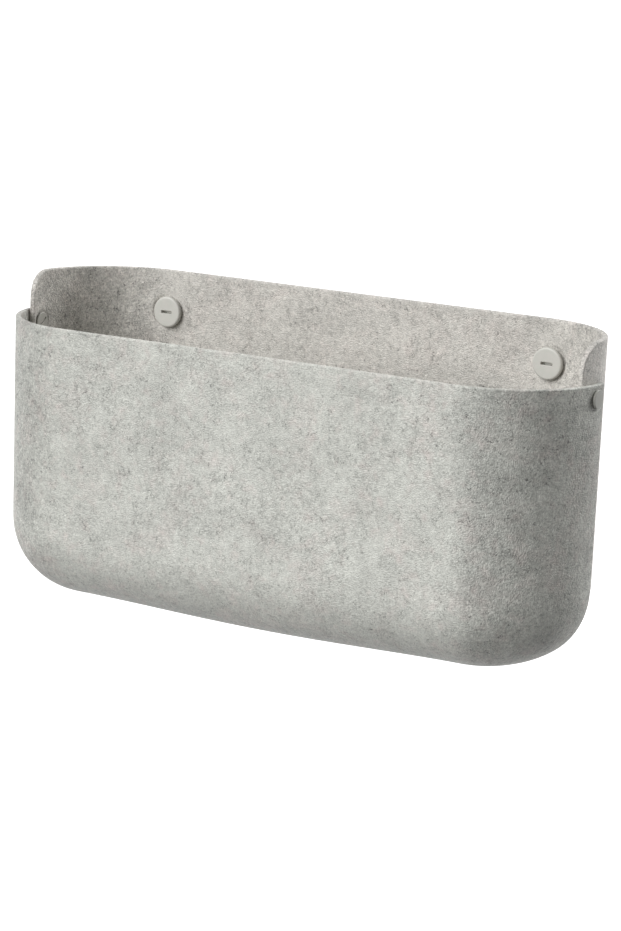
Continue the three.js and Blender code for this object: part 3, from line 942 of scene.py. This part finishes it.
plastic = plastic_material("moulded_satin_plastic", "C5C7BF", "CFCBC6")
rivet_plastic = plastic_material("moulded_rivet_plastic", "AFB1AA", "B7B3AC")
post_plastic = plastic_material("moulded_post_plastic", "9EA099", "A5A39C")
for name, side in SIDES:
    dress(knobs[name], plastic, f"{name}_knob", f"{name}_knob")
    dress(posts[name], post_plastic, "basket", f"{name}_rivet_post")
    dress(screws[name], rivet_plastic, "basket", f"{name}_rivet_screw")

# %% [markdown]
# The hangers' hidden half. A socket is screwed to the wall behind each knob: a round
# flange with a short barrel, whose inner groove holds the knob's two lugs. Its skin
# closes on itself twice, round the axis and round the section, so the last row joins
# the first. Groove and entry slots are the barrel's inner radius as a function of the
# angle, wide where the lugs travel and narrow elsewhere.

# %% Wall sockets
FLANGE_RADIUS, FLANGE_THICKNESS, FLANGE_EDGE = 15.0, 2.0, 0.5
BARREL_OUTSIDE, BARREL_INSIDE, BARREL_END = 7.5, 5.7, 8.3
GROOVE_RADIUS, GROOVE_BACK, GROOVE_FRONT = 6.6, 3.7, 6.0
# Where the lugs pass the mouth and where they travel: middle and half angle, degrees.
MOUTH, GROOVE = (90, 25), (45, 70)
MOUTH_FLARE, MOUTH_EDGE = 1.03, 0.2
SOCKET_FLOOR = 3.4
SCREW_HOLE, SCREW_SUNK, SCREW_SUNK_BACK = 2.2, 4.1, 1.3


def widened(middle, half_angle):
    """The barrel's inner circle, at the groove's radius within half_angle of two
    opposite directions and at its own radius elsewhere; angles are in degrees."""
    angle = np.degrees(np.arange(AROUND) * 2 * np.pi / AROUND)
    off = np.abs(np.mod(angle - middle + 90, 180) - 90)
    return ring(1.0) * np.where(off < half_angle, GROOVE_RADIUS, BARREL_INSIDE)[:, None]


def socket_rows():
    """Rows round a socket's section, from the wall over the barrel to the screw hole."""
    yield from rounded(FLANGE_RADIUS - SMALL_EDGE, SMALL_EDGE, SMALL_EDGE, -90, 0, 3)
    yield from rounded(FLANGE_RADIUS - FLANGE_EDGE, FLANGE_THICKNESS - FLANGE_EDGE,
                       FLANGE_EDGE, 0, 90, 4)
    yield ring(BARREL_OUTSIDE + SMALL_EDGE), FLANGE_THICKNESS
    yield ring(BARREL_OUTSIDE), FLANGE_THICKNESS + SMALL_EDGE
    yield from rounded(BARREL_OUTSIDE - SMALL_EDGE, BARREL_END - SMALL_EDGE, SMALL_EDGE, 0, 90, 4)
    mouth, groove = widened(*MOUTH), widened(*GROOVE)
    yield mouth * MOUTH_FLARE, BARREL_END
    yield mouth, BARREL_END - MOUTH_EDGE
    yield mouth, GROOVE_FRONT
    yield groove, GROOVE_FRONT - SHARP_STEP
    yield groove, GROOVE_BACK
    yield ring(BARREL_INSIDE), GROOVE_BACK - SHARP_STEP
    yield ring(BARREL_INSIDE), SOCKET_FLOOR
    yield ring(SCREW_SUNK), SOCKET_FLOOR
    yield ring(SCREW_HOLE), SCREW_SUNK_BACK
    yield ring(SCREW_HOLE), 0


for name, place in hanger_place.items():
    wall_socket = skin(f"wall_socket_{name}_side", socket_rows(), *place, through=True)
    dress(wall_socket, plastic, "basket", f"{name}_wall_socket")

# %% [markdown]
# The wall screws. Each is an ordinary countersunk wood screw, zinc plated. The thread is
# a radius that depends on both parameters: it rises and falls once for every turn round
# the shank plus every pitch along it, which makes the ridge climb. Towards the point
# the radius shrinks to nothing.

# %% Wall screws
THREAD_ROOT, THREAD_CREST, THREAD_PITCH = 1.35, 1.98, 1.8
# The ridge is this share of a pitch wide to each side, and a pitch has this many rows.
RIDGE_SHARE, ROWS_PER_PITCH = 0.32, 10
SCREW_TIP, SCREW_FACE, SCREW_UNDER_HEAD = -26.8, 3.2, 1.1
PLAIN_SHANK, RUN_IN, POINT_LENGTH = 1.5, 0.2, 4.5
SINK_RADIUS, SINK_EDGE = 3.9, 0.12
# The circle that the recess's outline has become, and the one where the face ends.
RECESS_CIRCLE, HEAD_CIRCLE = 3.5, 3.8
CROSS_SPAN, CROSS_WIDTH = 4.0, 0.9
# The recess from its middle: the cross's scale, and how deep it lies there.
CROSS_STEPS = ((0.02, 1.4), (0.9, 1.3), (1.0, 0.05), (1.02, 0.0))


def cross_outline(span, width):
    """A plus sign: half an arm's end and side, turned by every quarter turn."""
    a, b = span / 2, width / 2
    arm = np.array([[a, 0], [a, b], [b, b], [b, a]])
    arms = [turned(arm, quarter * np.pi / 2) for quarter in range(4)]
    return even_steps(np.concatenate(arms + [arm[:1]]))


def wall_screw_rows():
    """Rows of a wood screw, from the recess's middle over the head and down the thread.
    The radius is the root's plus the ridge, which is highest where pitches and turns
    together make a half, times a taper that ends at the tip."""
    cross = cross_outline(CROSS_SPAN, CROSS_WIDTH)
    for scale, depth in CROSS_STEPS:
        yield cross * scale, SCREW_FACE - depth
    for share in (0.3, 0.65, 1.0):
        yield cross * (1 - share) + ring(RECESS_CIRCLE) * share, SCREW_FACE
    yield ring(HEAD_CIRCLE), SCREW_FACE
    yield ring(SINK_RADIUS), SCREW_FACE - SINK_EDGE
    yield ring(THREAD_CREST), SCREW_UNDER_HEAD
    yield ring(THREAD_CREST), SCREW_UNDER_HEAD - PLAIN_SHANK
    turns = np.arange(AROUND) / AROUND
    start = SCREW_UNDER_HEAD - PLAIN_SHANK - RUN_IN
    for height in np.arange(start, SCREW_TIP + 0.1, -THREAD_PITCH / ROWS_PER_PITCH):
        climb = np.mod(height / THREAD_PITCH - turns, 1)
        ridge = np.clip(1 - np.abs(climb - 0.5) / RIDGE_SHARE, 0, 1)
        radius = THREAD_ROOT + (THREAD_CREST - THREAD_ROOT) * ridge
        taper = min(1.0, (height - SCREW_TIP) / POINT_LENGTH)
        yield ring(1.0) * (radius * taper)[:, None], height
    yield ring(POINT), SCREW_TIP


# %% [markdown]
# Bright zinc plate. The screws are drawn steel with a thin electroplated coat of zinc.
# That gives the eye a cool grey metal of middling gloss with faint yellowish clouds. One
# flat metal colour would do from afar, but the clouds are what tells zinc from chrome, so
# one noise of their size carries the colour, the gloss and a trace of relief.

# %% Zinc-plated steel
ZINC_SHADE, ZINC_WARM_SHADE = "B9BCC0", "D2D0C6"
CLOUD_SIZE = 2.5


def zinc_material():
    """Bright zinc plate on steel: one noise clouds its colour, its gloss and its relief."""
    material, tree = empty_material("zinc_plated_steel")
    place = add_node(tree, "ShaderNodeTexCoord")
    mm = add_node(tree, "ShaderNodeMapping", {
        "Vector": place.outputs["Object"], "Scale": (1000, 1000, 1000)})
    cloud = add_node(tree, "ShaderNodeTexNoise", {
        "Vector": mm, "Scale": 1 / CLOUD_SIZE, "Detail": 3.0})
    colour = add_node(tree, "ShaderNodeMix", {
        0: cloud, 6: linear(ZINC_SHADE), 7: linear(ZINC_WARM_SHADE)},
        data_type="RGBA")
    rough = add_node(tree, "ShaderNodeMapRange", {
        "Value": cloud, "From Min": 0.3, "From Max": 0.7,
        "To Min": 0.25, "To Max": 0.4})
    bump = add_node(tree, "ShaderNodeBump", {
        "Height": cloud, "Strength": 0.1, "Distance": 0.0001})
    shader = add_node(tree, "ShaderNodeBsdfPrincipled", {
        "Base Color": colour.outputs[2], "Metallic": 1.0, "Roughness": rough,
        "Normal": bump})
    add_node(tree, "ShaderNodeOutputMaterial", {"Surface": shader})
    return material


zinc = zinc_material()
for name, place in hanger_place.items():
    wall_screw = skin(f"wood_screw_{name}_side", wall_screw_rows(), *place)
    dress(wall_screw, zinc, "basket", f"{name}_wall_screw")

# %% [markdown]
# Last, the boxes.

# %% Sizes and finish
visual_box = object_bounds()
boxes = {"cad": [list(corner) for corner in cad_box], "visual": [list(corner) for corner in visual_box]}
for kind, corners in boxes.items():
    print(kind, "box, mm:", [[round(v * 1000, 1) for v in corner] for corner in corners])
